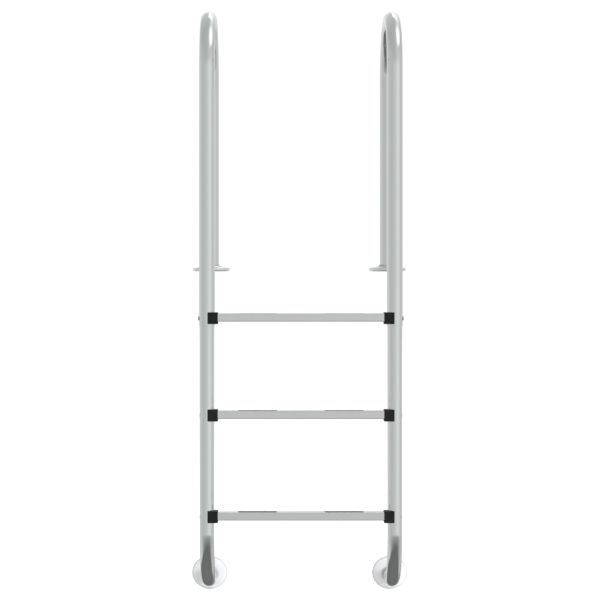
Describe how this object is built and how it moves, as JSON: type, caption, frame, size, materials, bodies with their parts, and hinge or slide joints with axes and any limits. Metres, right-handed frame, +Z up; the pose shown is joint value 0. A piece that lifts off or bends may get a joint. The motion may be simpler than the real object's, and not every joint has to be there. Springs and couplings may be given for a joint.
{
  "type": "pool ladder",
  "caption": "Stainless pool ladder with arched handrails on round deck flanges, telescoped lower rails, box treads with dark grip pads in black end caps, and white wall bumpers.",
  "frame": {"origin": "on the deck surface, midway between the two deck flanges, at the centre of the deck screw pattern", "axes": "+Z up, +Y from the pool towards the deck, +X to the right of a swimmer facing the deck"},
  "size_m": [0.601, 0.377, 1.5868],
  "materials": {
    "polished_tube": "polished",
    "pressed_cover": "polished",
    "flange_plate": "mill",
    "tread_sheet": "satin",
    "fastener_steel": "bright",
    "seal_rubber": "matte",
    "pad_rubber": "textured",
    "cap_plastic": "fine texture",
    "bumper_plastic": "satin"
  },
  "bodies": {
    "ladder": {"cap_nuts_bottom": "fastener_steel", "cap_nuts_middle": "fastener_steel", "cap_nuts_top": "fastener_steel", "deck_flange_left": "flange_plate", "deck_flange_right": "flange_plate", "grip_pad_bottom_left": "pad_rubber", "grip_pad_bottom_right": "pad_rubber", "grip_pad_middle_left": "pad_rubber", "grip_pad_middle_right": "pad_rubber", "grip_pad_top_left": "pad_rubber", "grip_pad_top_right": "pad_rubber", "handrail_left": "polished_tube", "handrail_right": "polished_tube", "joint_bolt_left": "fastener_steel", "joint_bolt_right": "fastener_steel", "lower_rail_left": "polished_tube", "lower_rail_right": "polished_tube", "saddle_washer_left": "fastener_steel", "saddle_washer_right": "fastener_steel", "tread_bolts_bottom": "fastener_steel", "tread_bolts_middle": "fastener_steel", "tread_bottom": "tread_sheet", "tread_cap_bottom_left": "cap_plastic", "tread_cap_bottom_right": "cap_plastic", "tread_cap_middle_left": "cap_plastic", "tread_cap_middle_right": "cap_plastic", "tread_cap_top_left": "cap_plastic", "tread_cap_top_right": "cap_plastic", "tread_middle": "tread_sheet", "tread_top": "tread_sheet", "wall_bumper_left": "bumper_plastic", "wall_bumper_right": "bumper_plastic"},
    "left_cover": {"flange_cover_left": "pressed_cover", "cover_seal_left": "seal_rubber"},
    "right_cover": {"flange_cover_right": "pressed_cover", "cover_seal_right": "seal_rubber"}
  },
  "joints": [
    {"name": "left_cover_slide", "type": "slide", "parent": "ladder", "child": "left_cover", "axis": [0, 0, 1], "range_m": [0, 0.5]},
    {"name": "right_cover_slide", "type": "slide", "parent": "ladder", "child": "right_cover", "axis": [0, 0, 1], "range_m": [0, 0.5]}
  ]
}
